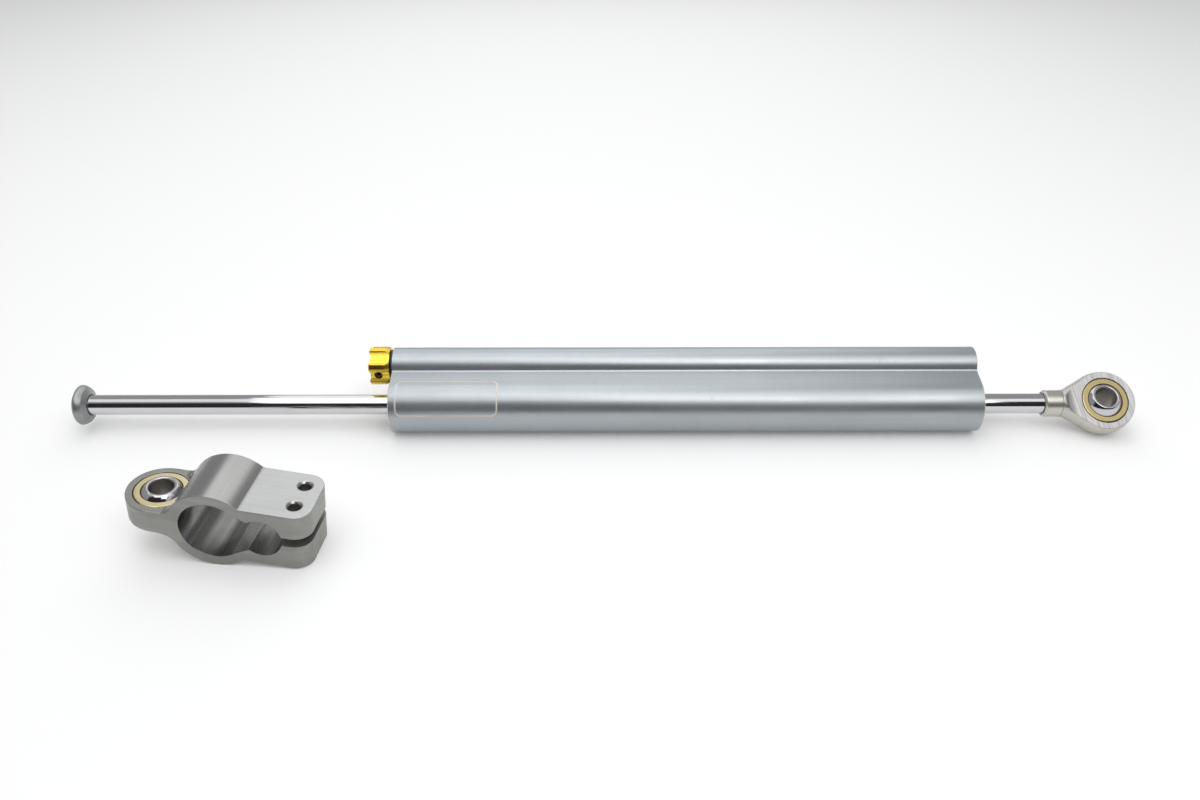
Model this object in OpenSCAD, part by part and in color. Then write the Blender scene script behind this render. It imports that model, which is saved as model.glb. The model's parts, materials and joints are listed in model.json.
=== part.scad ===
// Through-rod steering damper with a parallel adjuster tube, lying beside its loose frame clamp.
// Units are millimetres. The origin is the centre of the housing on the rod's axis,
// +X runs along the rod towards the rod eye, and +Z points up from the bench it lies on.

/* [Housing] */
// Length of the housing
body_len = 233; // [200:1:300]
// Diameter of the main tube
body_d = 22; // [21:0.5:25]
// Diameter of the adjuster tube
lobe_d = 14.4; // [13.4:0.2:16]
// Distance between the axes of the main tube and the adjuster tube
lobe_offset = 16.4; // [16:0.2:18]
// Angle of each side flat to the plane through both tubes
flat_angle = 30; // [27:1:33]
// Radius of the hollow blend between a side flat and the adjuster tube
neck_blend = 1.5; // [0.8:0.1:2.5]
// Diameter of the bore that the piston runs in
bore_d = 16; // [14:0.5:17]
// Diameter of the oil channel in the adjuster tube
channel_d = 7; // [6:0.5:8]
// Diameter of the threaded mouths at both ends of the oil channel
mouth_d = 9; // [8.5:0.5:10]
// Diameter of the ports between the bore and the oil channel
port_d = 2.5; // [1.5:0.5:3]
// How high the adjuster tube leans above the level as the damper lies, in degrees
lobe_elevation = 40; // [20:1:60]

/* [Engraved frame] */
// Length of the bare engraved frame on the front of the housing
panel_len = 40.2; // [20:0.2:60]
// Height of the engraved frame
panel_h = 15; // [8:0.5:16]
// Distance from the housing's left end to the engraved frame
panel_inset = 2.7; // [2:0.1:20]
// Corner radius of the engraved frame
panel_corner = 2.5; // [1:0.5:3.5]
// Width of the engraved line
panel_line = 0.6; // [0.4:0.1:1]
// Depth of the engraved line
panel_depth = 0.15; // [0.1:0.05:0.3]

/* [Rod and piston] */
// Diameter of the piston rod
rod_d = 8; // [7:0.5:9]
// Full stroke between the piston's stops
stroke = 130; // [100:1:136]
// How far the rod is pushed to the left of mid stroke as it lies
rod_rest = 47; // [0:1:48]
// Least gap left between the housing and the rod's end fittings at full stroke
fitting_gap = 8.25; // [6:0.25:12]
// Length of the piston
piston_len = 12; // [10:1:16]
// Width of the piston's bearing band
band_w = 6; // [4:0.5:7]
// Thickness of the piston's bearing band
band_t = 1.2; // [1:0.1:1.5]
// Length of the thread that holds each end fitting
fitting_thread = 12; // [8:1:14]

/* [Rod guides] */
// Distance from the housing's end face to the rod guide
guide_inset = 2.2; // [2:0.1:4]
// Diameter of the pocket for the dirt wiper
wiper_d = 12.4; // [11.5:0.1:12.8]
// Depth of the pocket for the dirt wiper
wiper_depth = 3.5; // [2.5:0.5:5]
// How far the wiper's lip stands out of the rod guide
wiper_lip = 0.8; // [0.4:0.1:1.2]
// Diameter of the groove for the rod seal
rod_seal_d = 12.6; // [11.6:0.1:12.8]
// Width of the groove for the rod seal
rod_seal_w = 3.2; // [2.5:0.1:4]
// Outside diameter of the rod bush
bush_d = 10; // [9.6:0.1:11]
// Length of the rod bush
bush_len = 14; // [8:1:18]
// Thickness of the retaining rings
clip_t = 1; // [0.8:0.1:1.2]
// Depth of the grooves for the retaining rings
clip_groove = 0.5; // [0.4:0.1:0.8]

/* [End button] */
// Diameter of the button on the rod's left end
button_d = 16; // [12:0.5:16]
// Thickness of the button
button_t = 5; // [4:0.5:7]
// Diameter of the button's hub round the rod
button_hub_d = 9.8; // [9.4:0.1:11]

/* [Rod eye] */
// Diameter of the rod eye's head
eye_d = 25; // [23.4:0.2:28]
// Diameter of the rod eye's collar
collar_d = 10.6; // [10.3:0.1:12]
// Distance from the collar's mouth to the centre of the eye
eye_reach = 23.65; // [22:0.05:32]
// Half angle of the taper from collar to head
eye_taper = 31; // [26:1:34]
// Radius of the hollow blend between collar and taper
eye_blend = 7; // [4:0.5:9]
// Radius of the cutter that relieves the faces behind the head
relief_r = 14; // [12:1:24]
// Length of the flat face behind the centre of the eye
flat_reach = 11.5; // [10:0.5:12]

/* [Spherical bearings] */
// Bolt bore of each bearing ball
ball_bore = 8; // [6:0.5:8]
// Diameter of each bearing ball
ball_d = 15.875; // [15:0.125:16.5]
// Width of each bearing ball
ball_w = 12; // [11:0.5:12.5]
// Outside diameter of each race
race_d = 18.4; // [17.8:0.1:19]
// Width of each race, and thickness of both eyes
race_w = 9; // [8:0.5:10]
// Lean of the rod eye's ball as it lies, in degrees
ball_lean = 11; // [0:1:13]

/* [Adjuster] */
// Diameter of the adjuster knob
knob_d = 16; // [14:0.2:17]
// Length of the knob
knob_len = 8.1; // [7:0.1:12]
// Gap between the knob and the housing
knob_gap = 1.1; // [1:0.1:2]
// Number of finger flutes round the knob
flutes = 6; // [5:1:8]
// Depth of the finger flutes
flute_depth = 1.3; // [0.9:0.1:1.6]
// Width of the ridges between the flutes
ridge_w = 2; // [1.4:0.1:2.4]
// Depth of the dish in the knob's outer end
dish_depth = 1.2; // [0.5:0.1:1.8]
// Distance from the knob's outer end to its grub screw
grub_place = 3.7; // [3.4:0.1:5]
// Diameter of the hole for the knob's grub screw
grub_d = 3.2; // [2.6:0.1:3.4]
// Diameter of the adjuster shaft
shaft_d = 4; // [3.4:0.1:4.4]
// Thickness of the dark washer behind the knob
washer_t = 0.8; // [0.4:0.1:0.8]
// Length of the threaded gland that carries the adjuster shaft
gland_len = 14; // [12:1:18]
// Diameter of the orifice in the valve seat
orifice_d = 2.4; // [2:0.1:3]

/* [Clamp] */
// Width of the clamp along its bore
clamp_w = 23; // [21.6:0.2:26]
// Outside diameter of the clamp's ring
ring_d = 30; // [29:0.5:34]
// Clearance round the housing inside the clamp
clamp_clear = 0.1; // [0.05:0.05:0.2]
// Distance from the clamp's bore to the centre of its bearing
lug_reach = 21.3; // [21:0.1:26]
// Thickness of each clamp ear
ear_t = 9.5; // [9:0.1:12]
// Height of the slit between the ears
slit_h = 3.4; // [2:0.1:3.6]
// Distance from the clamp's bore to the end of the ears
ear_reach = 32.8; // [31.4:0.2:38]
// Corner radius of the ears
ear_corner = 6; // [3:0.5:7]
// Distance from the clamp's bore to the row of bolt holes
bolt_reach = 26.5; // [26.4:0.1:27]
// Distance between the two bolt holes
bolt_pitch = 10.6; // [9:0.2:12]
// Diameter of the threaded bolt holes
thread_d = 3.3; // [2.5:0.1:4.2]
// Diameter of the clearance holes for the bolts
bolt_clear_d = 4.4; // [4.3:0.1:5]
// Diameter of the recess for each bolt's head
bolt_head_d = 7.4; // [7:0.1:8]
// Place of the clamp's bore along the bench, from the housing's centre
clamp_x = -161.4; // [-190:0.2:-120]
// Place of the clamp's bore in front of the rod, towards the viewer
clamp_y = -69; // [-90:0.1:-60]
// Turn of the clamp on the bench, in degrees
clamp_turn = -5.6; // [-20:0.2:20]

/* [Hidden] */

$fn = 96;
eps = 0.01;
// Tangent faces sink this far into each other, so that they cross cleanly.
sink = 0.02;
// Running clearance on each side of a part that slides or turns in its bearing.
run = 0.03;
// Clearance on each side of a rigid part that only its seal or band guides.
free = 0.25;
// Small chamfer on turned edges.
edge = 0.4;

rod_r = rod_d / 2;
bore_r = bore_d / 2;
body_end = body_len / 2;
roll = lobe_elevation - 90;

// The chamber ends a little past the piston's stops.
stop_gap = 1;
chamber_end = stroke / 2 + piston_len / 2 + stop_gap;
guide_len = body_end - guide_inset - chamber_end;
clip_place = guide_inset - clip_t;

// The rod is as long as the housing, the stroke and both gaps need.
rod_half = body_end + stroke / 2 + fitting_gap;
button_x = -rod_rest - rod_half;
collar_x = -rod_rest + rod_half;
eye_x = collar_x + eye_reach;
fitting_recess = 0.8;
stud_d = 5;
spigot_d = 6;
// Pockets in the end fittings that the rod's full diameter enters.
button_pocket_r = rod_r + 0.25;
eye_pocket_r = rod_r + 0.45;

ball_face_r = sqrt(pow(ball_d / 2, 2) - pow(ball_w / 2, 2));
race_r = race_d / 2;

// The adjuster's pieces are measured inwards from the housing's left end, and the gas room from its right.
needle_start = gland_len + 3;
needle_guide = 12;
needle_stem_d = 4;
needle_thread_d = 3;
port_place = body_end - chamber_end + 2;
seat_place = port_place + 8;
seat_len = 6;
needle_tip = seat_place + 2;
plug_len = 10;
floating_len = 8;
gas_room = 6.5;
floating_place = body_end - plug_len - gas_room - floating_len;

// The clamp rests on its ring and on the ends of its ears.
ear_top = ear_t + slit_h / 2;
ring_r = ring_d / 2;
clamp_lean = asin(ring_r / norm([ear_reach, ear_top])) - atan(ear_top / ear_reach);
eye_face_r = sqrt(pow(eye_d / 2, 2) - pow(race_w / 2, 2));
bench_z = -max(body_d / 2, eye_face_r * sin(lobe_elevation) + race_w / 2 * cos(lobe_elevation));

// Lays the damper down: inside, +Z points to the adjuster tube and -Y to the viewer.
module lay_down() {
    rotate([roll, 0, 0]) children();
}

// Lays a piece down on the axis of the adjuster tube.
module on_lobe_axis() {
    lay_down() translate([0, 0, lobe_offset]) children();
}

// Turns a profile of [x, radius] points round the X axis.
module turned(profile) {
    rotate([0, 90, 0]) rotate_extrude() polygon([for (p = profile) [p[1], p[0]]]);
}

// A ring with a round section, centred at x.
module o_ring(x, ring_radius, section_r) {
    translate([x, 0, 0]) rotate([0, 90, 0]) rotate_extrude() translate([ring_radius, 0]) circle(section_r);
}

// Puts a piece at an end of the housing, with +X pointing inwards. Side is -1 for left, 1 for right.
module at_end(side) {
    if (side < 0) translate([-body_end, 0, 0]) children();
    else mirror([1, 0, 0]) translate([-body_end, 0, 0]) children();
}

// Stands a flat outline up in the XZ plane with its thickness centred along Y.
module upright(thickness) {
    rotate([90, 0, 0]) linear_extrude(thickness, center = true) children();
}

// Fills the corner between a circle of radius r at the origin and the line y = level.
module corner_fill(r, level, blend, side) {
    cx = side * sqrt(pow(r + blend, 2) - pow(level + blend, 2));
    inner = (r - 4 * sink) / (r + blend);
    difference() {
        polygon([[cx, level - 4 * sink], [cx, level + blend], [cx, level + blend] * inner,
                 [cx * inner, level - 4 * sink]]);
        translate([cx, level + blend]) circle(blend + sink);
    }
}

// The housing's outline across its length: two circles joined by flats, grown outwards by grow.
module section(grow = 0) {
    main_r = body_d / 2 + grow;
    lobe_r = lobe_d / 2 + grow;
    flat_r = main_r - sink;
    normal = [cos(flat_angle), sin(flat_angle)];
    along = [-sin(flat_angle), cos(flat_angle)];
    foot = lobe_offset * cos(flat_angle);
    blend_r = max(neck_blend - grow, 0.3);
    rise = flat_r + blend_r - lobe_offset * sin(flat_angle);
    blend_at = normal * (flat_r + blend_r)
        + along * (foot - sqrt(pow(lobe_r + blend_r, 2) - pow(rise, 2)));
    to_lobe = ([0, lobe_offset] - blend_at) / norm([0, lobe_offset] - blend_at);
    circle(main_r);
    translate([0, lobe_offset]) circle(lobe_r);
    for (side = [0, 1]) mirror([side, 0]) {
        polygon([[0, 0], normal * flat_r, normal * flat_r + along * foot, [0, lobe_offset]]);
        difference() {
            polygon([blend_at, blend_at - normal * (blend_r + 4 * sink), [0, lobe_offset / 2],
                     [0, lobe_offset], blend_at + to_lobe * (blend_r + 4 * sink)]);
            translate(blend_at) circle(blend_r + sink);
        }
    }
}

// The housing's outline drawn out along X.
module section_bar(length, grow = 0) {
    translate([-length / 2, 0, 0]) rotate([90, 0, 90]) linear_extrude(length) section(grow);
}

function corner(x, y, r, start) =
    [for (step = [0:6]) [x + r * cos(start + 15 * step), y + r * sin(start + 15 * step)]];

function rounded_frame(w, h, r) = concat(
    corner(w / 2 - r, h / 2 - r, r, 0), corner(r - w / 2, h / 2 - r, r, 90),
    corner(r - w / 2, r - h / 2, r, 180), corner(w / 2 - r, r - h / 2, r, 270));

module engraved_frame() {
    translate([panel_inset + panel_len / 2 - body_end, -body_d / 4, 0]) rotate([90, 0, 0])
        linear_extrude(body_d) difference() {
            polygon(rounded_frame(panel_len, panel_h, panel_corner));
            polygon(rounded_frame(panel_len - 2 * panel_line, panel_h - 2 * panel_line,
                                  panel_corner - panel_line));
        }
}

module housing_bores() {
    rotate([0, 90, 0]) cylinder(h = body_len + 2, r = bore_r, center = true);
    translate([0, 0, lobe_offset]) rotate([0, 90, 0])
        cylinder(h = body_len + 2, d = channel_d, center = true);
    for (side = [-1, 1]) at_end(side) {
        turned([[-1, 0], [-1, bore_r + edge + 1], [edge, bore_r], [edge, 0]]);
        turned([[clip_place, 0], [clip_place, bore_r + clip_groove],
                [clip_place + clip_t, bore_r + clip_groove], [clip_place + clip_t, 0]]);
        translate([port_place, 0, 0]) cylinder(h = lobe_offset, d = port_d);
    }
    at_end(-1) translate([-1, 0, lobe_offset]) rotate([0, 90, 0]) cylinder(h = gland_len + 1, d = mouth_d);
    at_end(1) translate([-1, 0, lobe_offset]) rotate([0, 90, 0]) cylinder(h = plug_len + 1.5, d = mouth_d);
}

module housing() {
    color([0.62, 0.65, 0.68]) lay_down() difference() {
        union() {
            difference() {
                section_bar(body_len);
                engraved_frame();
            }
            section_bar(body_len, -panel_depth);
        }
        housing_bores();
    }
}

// The guides' seal groove lies a land's width behind the wiper, and the bush sits at the inner end.
land = 1.5;
seal_place = wiper_depth + land;
ring_groove_w = 2.2;
ring_groove_depth = 1.2;
ring_place = guide_len - bush_len + 2;

module rod_guide(side) {
    color([0.72, 0.73, 0.74]) lay_down() at_end(side) translate([guide_inset, 0, 0]) turned([
        [0, wiper_d / 2], [0, bore_r - edge], [edge, bore_r],
        [ring_place, bore_r], [ring_place, bore_r - ring_groove_depth],
        [ring_place + ring_groove_w, bore_r - ring_groove_depth], [ring_place + ring_groove_w, bore_r],
        [guide_len, bore_r], [guide_len, bush_d / 2],
        [guide_len - bush_len, bush_d / 2], [guide_len - bush_len, rod_r + free],
        [seal_place + rod_seal_w, rod_r + free], [seal_place + rod_seal_w, rod_seal_d / 2],
        [seal_place, rod_seal_d / 2], [seal_place, rod_r + free],
        [wiper_depth, rod_r + free], [wiper_depth, wiper_d / 2]]);
}

module left_rod_guide() {
    rod_guide(-1);
}

module right_rod_guide() {
    rod_guide(1);
}

module rod_bush(side) {
    color([0.45, 0.38, 0.28]) lay_down() at_end(side) translate([guide_inset + guide_len - bush_len, 0, 0])
        turned([[0, rod_r + run], [0, bush_d / 2], [bush_len, bush_d / 2], [bush_len, rod_r + run]]);
}

module left_rod_bush() {
    rod_bush(-1);
}

module right_rod_bush() {
    rod_bush(1);
}

module rod_seal(side) {
    waist = 0.3;
    color([0.1, 0.1, 0.11]) lay_down() at_end(side) translate([guide_inset + seal_place, 0, 0]) turned([
        [0.1, rod_r + run], [0.1, rod_seal_d / 2 - eps], [rod_seal_w - 0.1, rod_seal_d / 2 - eps],
        [rod_seal_w - 0.1, rod_r + run], [rod_seal_w * 0.7, rod_r + run],
        [rod_seal_w * 0.5, rod_r + run + waist], [rod_seal_w * 0.3, rod_r + run]]);
}

module left_rod_seal() {
    rod_seal(-1);
}

module right_rod_seal() {
    rod_seal(1);
}

module wiper(side) {
    lip_t = 1.1;
    color([0.12, 0.12, 0.13]) lay_down() at_end(side) translate([guide_inset, 0, 0]) turned([
        [-wiper_lip, rod_r + run], [-wiper_lip, rod_r + lip_t * 0.5], [0.6, rod_r + lip_t],
        [0.6, wiper_d / 2 - 0.5], [0.2, wiper_d / 2 - 0.3], [0.2, wiper_d / 2],
        [wiper_depth, wiper_d / 2], [wiper_depth, rod_r + free], [1.2, rod_r + free], [0, rod_r + run]]);
}

module left_wiper() {
    wiper(-1);
}

module right_wiper() {
    wiper(1);
}

module guide_o_rings() {
    section_r = ring_groove_depth / 2 - run / 2;
    color([0.08, 0.08, 0.09]) lay_down() for (side = [-1, 1]) at_end(side)
        o_ring(guide_inset + ring_place + ring_groove_w / 2, bore_r - ring_groove_depth / 2, section_r);
}

// An inside retaining ring with an open gap and two pierced ears.
module inside_circlip(outer_r, thickness) {
    wall = 1.1;
    ear_r = 1;
    ear_at = outer_r - ear_r - 0.4;
    half_gap = 24;
    rotate([0, 90, 0]) linear_extrude(thickness) {
        difference() {
            circle(outer_r);
            circle(outer_r - wall);
            polygon([[0, 0], 2 * outer_r * [cos(half_gap), -sin(half_gap)],
                     2 * outer_r * [cos(half_gap), sin(half_gap)]]);
        }
        for (turn = [-1, 1]) rotate(turn * (half_gap + 6)) translate([ear_at, 0]) difference() {
            circle(ear_r);
            circle(0.5);
        }
    }
}

module guide_circlips() {
    color([0.2, 0.2, 0.21]) lay_down() for (side = [-1, 1]) at_end(side) translate([clip_place + eps, 0, 0])
        inside_circlip(bore_r + clip_groove - run, clip_t - 2 * eps);
}

// The gland fills the mouth of the oil channel and carries the turning shaft.
shaft_seal_at = 4;
shaft_seal_w = 2;
shaft_seal_depth = 1;

module adjuster_gland() {
    color([0.75, 0.76, 0.77]) on_lobe_axis() at_end(-1) turned([
        [0.3, shaft_d / 2 + run], [0.3, mouth_d / 2 - edge], [0.3 + edge, mouth_d / 2],
        [gland_len, mouth_d / 2], [gland_len, shaft_d / 2 + run],
        [shaft_seal_at + shaft_seal_w, shaft_d / 2 + run],
        [shaft_seal_at + shaft_seal_w, shaft_d / 2 + shaft_seal_depth],
        [shaft_seal_at, shaft_d / 2 + shaft_seal_depth], [shaft_seal_at, shaft_d / 2 + run]]);
}

module shaft_o_ring() {
    section_r = (shaft_seal_depth - run) / 2 - eps;
    color([0.08, 0.08, 0.09]) on_lobe_axis() at_end(-1)
        o_ring(shaft_seal_at + shaft_seal_w / 2, shaft_d / 2 + run + section_r, section_r);
}

module knob_washer() {
    color([0.1, 0.1, 0.1]) on_lobe_axis() at_end(-1) turned([
        [-washer_t, shaft_d / 2 + free], [-washer_t, lobe_d / 2 - 0.9], [0, lobe_d / 2 - 0.9],
        [0, shaft_d / 2 + free]]);
}

// The shaft stands in a blind hole this far behind the knob's outer end.
shaft_blind = dish_depth + 1.6;

module adjuster_shaft() {
    color([0.7, 0.7, 0.71]) on_lobe_axis() at_end(-1) turned([
        [shaft_blind - knob_gap - knob_len, 0], [shaft_blind - knob_gap - knob_len, shaft_d / 2],
        [gland_len + 1, shaft_d / 2], [gland_len + 1, needle_thread_d / 2],
        [needle_start + needle_guide - 3, needle_thread_d / 2], [needle_start + needle_guide - 3, 0]]);
}

module metering_needle() {
    tip_d = 1.6;
    color([0.78, 0.78, 0.79]) on_lobe_axis() at_end(-1) turned([
        [needle_start, needle_thread_d / 2 + run], [needle_start, channel_d / 2 - run],
        [needle_start + needle_guide, channel_d / 2 - run],
        [needle_start + needle_guide, needle_stem_d / 2], [seat_place - 4, needle_stem_d / 2],
        [needle_tip, tip_d / 2], [needle_tip, 0],
        [needle_start + needle_guide - 1, 0],
        [needle_start + needle_guide - 1, needle_thread_d / 2 + run]]);
}

module valve_seat() {
    color([0.72, 0.6, 0.35]) on_lobe_axis() at_end(-1) turned([
        [seat_place, orifice_d / 2 + 0.8], [seat_place, channel_d / 2],
        [seat_place + seat_len, channel_d / 2], [seat_place + seat_len, orifice_d / 2],
        [seat_place + 0.8, orifice_d / 2]]);
}

plug_groove_at = 5;
plug_groove_w = 1.8;
plug_groove_depth = 1;

module channel_plug() {
    hex_d = 4;
    hex_depth = 3;
    color([0.7, 0.71, 0.72]) on_lobe_axis() at_end(1) difference() {
        turned([
            [0.3, 0], [0.3, mouth_d / 2 - edge], [0.3 + edge, mouth_d / 2], [plug_groove_at, mouth_d / 2],
            [plug_groove_at, mouth_d / 2 - plug_groove_depth],
            [plug_groove_at + plug_groove_w, mouth_d / 2 - plug_groove_depth],
            [plug_groove_at + plug_groove_w, mouth_d / 2], [plug_len, mouth_d / 2], [plug_len, 0]]);
        translate([-1, 0, 0]) rotate([0, 90, 0]) cylinder(h = hex_depth + 1, d = hex_d / cos(30), $fn = 6);
    }
}

module plug_o_ring() {
    section_r = (plug_groove_depth - run) / 2;
    color([0.08, 0.08, 0.09]) on_lobe_axis() at_end(1)
        o_ring(plug_groove_at + plug_groove_w / 2, (mouth_d - plug_groove_depth) / 2, section_r);
}

floating_groove_depth = 1;

module floating_piston() {
    groove_w = 2;
    dimple_r = 1.5;
    dimple_depth = 2;
    middle = floating_len / 2;
    groove_r = channel_d / 2 - floating_groove_depth;
    color([0.6, 0.6, 0.62]) on_lobe_axis() translate([floating_place, 0, 0]) turned([
        [0, 0], [0, channel_d / 2 - run], [middle - groove_w / 2, channel_d / 2 - run],
        [middle - groove_w / 2, groove_r], [middle + groove_w / 2, groove_r],
        [middle + groove_w / 2, channel_d / 2 - run], [floating_len, channel_d / 2 - run],
        [floating_len, dimple_r], [floating_len - dimple_depth, dimple_r],
        [floating_len - dimple_depth, 0]]);
}

module floating_o_ring() {
    section_r = (floating_groove_depth - run) / 2 - eps;
    ring_r = channel_d / 2 - floating_groove_depth + section_r + eps;
    color([0.08, 0.08, 0.09]) on_lobe_axis() o_ring(floating_place + floating_len / 2, ring_r, section_r);
}

// The piston, its band and its rings are centred at the middle of the rod.
piston_r = bore_r - free;
band_groove_r = bore_r - run - band_t;
energiser_depth = 1;
piston_clip_groove = 0.4;
piston_clip_t = 0.8;

module piston_band() {
    color([0.2, 0.35, 0.33]) lay_down() translate([-rod_rest, 0, 0]) turned([
        [-band_w / 2 + run, band_groove_r + run], [-band_w / 2 + run, bore_r - run],
        [band_w / 2 - run, bore_r - run], [band_w / 2 - run, band_groove_r + run]]);
}

module piston() {
    half = piston_len / 2;
    ring_half = 1;
    color([0.66, 0.67, 0.68]) lay_down() translate([-rod_rest, 0, 0]) turned([
        [-half, rod_r], [-half, piston_r - edge], [edge - half, piston_r], [-band_w / 2, piston_r],
        [-band_w / 2, band_groove_r], [-ring_half, band_groove_r],
        [-ring_half, band_groove_r - energiser_depth], [ring_half, band_groove_r - energiser_depth],
        [ring_half, band_groove_r], [band_w / 2, band_groove_r], [band_w / 2, piston_r],
        [half - edge, piston_r], [half, piston_r - edge], [half, rod_r]]);
}

module piston_o_ring() {
    section_r = (energiser_depth - run) / 2;
    color([0.08, 0.08, 0.09]) lay_down()
        o_ring(-rod_rest, band_groove_r - energiser_depth + section_r + eps, section_r);
}

module piston_circlips() {
    ring_t = 1.3;
    ring_gap = 1.6;
    color([0.2, 0.2, 0.21]) lay_down() for (side = [-1, 1])
        translate([side * (piston_len + piston_clip_t) / 2 - rod_rest, 0, 0])
            rotate([0, 90, 0]) linear_extrude(piston_clip_t, center = true) difference() {
                circle(rod_r + ring_t);
                circle(rod_r - piston_clip_groove);
                translate([0, -ring_gap / 2]) square([2 * rod_r, ring_gap]);
            }
}

module piston_rod() {
    half = piston_len / 2;
    groove_r = rod_r - piston_clip_groove;
    left = button_x - fitting_recess;
    shoulder = collar_x + fitting_recess;
    color([0.8, 0.81, 0.83]) lay_down() turned([
        [left, stud_d / 2], [left, rod_r], [-rod_rest - half - piston_clip_t, rod_r],
        [-rod_rest - half - piston_clip_t, groove_r], [-rod_rest - half, groove_r],
        [-rod_rest - half, rod_r], [-rod_rest + half, rod_r], [-rod_rest + half, groove_r],
        [-rod_rest + half + piston_clip_t, groove_r], [-rod_rest + half + piston_clip_t, rod_r],
        [shoulder, rod_r], [shoulder, spigot_d / 2],
        [shoulder + fitting_thread, spigot_d / 2], [shoulder + fitting_thread, 0],
        [left + fitting_thread, 0], [left + fitting_thread, stud_d / 2]]);
}

// A button with a rounded rim, a shallow cone towards the rod and a hexagon socket in its outer face.
module end_button() {
    rim_r = button_d / 2;
    hub_r = button_hub_d / 2;
    socket_d = 4;
    socket_depth = 2.5;
    color([0.58, 0.6, 0.61]) lay_down() translate([button_x, 0, 0]) difference() {
        rotate([0, 90, 0]) rotate_extrude() {
            polygon([[0, -button_t], [rim_r - 1.6, -button_t], [rim_r - 0.4, 0.8 - button_t],
                     [rim_r - sink, 1.3 - button_t], [rim_r - sink, 1.7 - button_t],
                     [rim_r - 0.3, 2.6 - button_t], [rim_r - 1.1, -1.1], [hub_r, -0.15],
                     [hub_r - 0.25, 0], [button_pocket_r, 0], [button_pocket_r, -fitting_recess],
                     [0, -fitting_recess]]);
            square([stud_d / 2, fitting_thread - fitting_recess - 1]);
            translate([0, -fitting_recess - eps]) square([stud_d / 2, fitting_recess + 2 * eps]);
        }
        translate([-button_t - 1, 0, 0]) rotate([0, 90, 0])
            cylinder(h = socket_depth + 1, d = socket_d / cos(30), $fn = 6);
    }
}

// The eye's turned blank: a ball drawn down by a tangent cone and a hollow blend to the collar.
module eye_blank() {
    head_r = eye_d / 2;
    collar_r = collar_d / 2;
    tangent = head_r * [cos(eye_taper), -sin(eye_taper)];
    cone_start = tangent[1] - (tangent[0] - collar_r) / tan(eye_taper);
    blend_centre = [collar_r + eye_blend, cone_start - eye_blend * tan(eye_taper / 2)];
    blend_end = blend_centre + eye_blend * [-cos(eye_taper), sin(eye_taper)];
    rotate([90, 0, 0]) sphere(head_r);
    rotate([0, 90, 0]) rotate_extrude() difference() {
        polygon([[0, blend_centre[1]], blend_centre, blend_end, tangent * (1 - sink / head_r), [0, 0]]);
        translate(blend_centre) circle(eye_blend + sink);
    }
    turned([[-eye_reach, 0], [-eye_reach, collar_r - 0.7], [0.7 - eye_reach, collar_r],
            [blend_centre[1] + 0.5, collar_r], [blend_centre[1] + 0.5, 0]]);
}

// Cuts both faces of the eye flat round the head, rising towards the collar on a large radius.
module face_relief() {
    deep = 2 * collar_d;
    for (side = [0, 1]) mirror([0, side, 0]) {
        translate([-flat_reach, race_w / 2, -eye_d]) cube([flat_reach + eye_d, deep, 2 * eye_d]);
        translate([-flat_reach, race_w / 2 + relief_r, 0])
            cylinder(h = 2 * eye_d, r = relief_r, center = true);
    }
}

module rod_eye() {
    color([0.78, 0.77, 0.74]) lay_down() translate([eye_x, 0, 0]) difference() {
        eye_blank();
        face_relief();
        rotate([90, 0, 0]) cylinder(h = 2 * race_w, r = race_r, center = true);
        turned([[-eye_reach - 1, 0], [-eye_reach - 1, eye_pocket_r],
                [fitting_recess - eye_reach, eye_pocket_r],
                [fitting_recess - eye_reach, spigot_d / 2],
                [fitting_recess + fitting_thread - eye_reach, spigot_d / 2],
                [fitting_recess + fitting_thread - eye_reach, 0]]);
    }
}

// A race and its ball, both on the Z axis and centred at the origin.
module race() {
    chamfer = 0.3;
    rotate_extrude() difference() {
        polygon([[ball_bore / 2 + 1, -race_w / 2], [race_r - chamfer, -race_w / 2],
                 [race_r, chamfer - race_w / 2], [race_r, race_w / 2 - chamfer],
                 [race_r - chamfer, race_w / 2], [ball_bore / 2 + 1, race_w / 2]]);
        circle(ball_d / 2 + run);
    }
}

module ball() {
    chamfer = 0.45;
    r = ball_bore / 2;
    half = ball_w / 2;
    rotate_extrude() intersection() {
        circle(ball_d / 2);
        polygon([[r, chamfer - half], [r + chamfer, -half], [ball_d, -half], [ball_d, half],
                 [r + chamfer, half], [r, half - chamfer]]);
    }
}

module at_eye() {
    lay_down() translate([eye_x, 0, 0]) rotate([90, 0, 0]) children();
}

module eye_race() {
    color([0.82, 0.72, 0.42]) at_eye() race();
}

module eye_ball() {
    color([0.83, 0.83, 0.86]) at_eye() rotate([-ball_lean, 0, 0]) ball();
}

// The first ridge faces a little below the viewer, and the grub screw is in the flute beneath it.
ridge_angle = 24;
flute_step = 360 / flutes;
grub_angle = ridge_angle + flute_step / 2;

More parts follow.
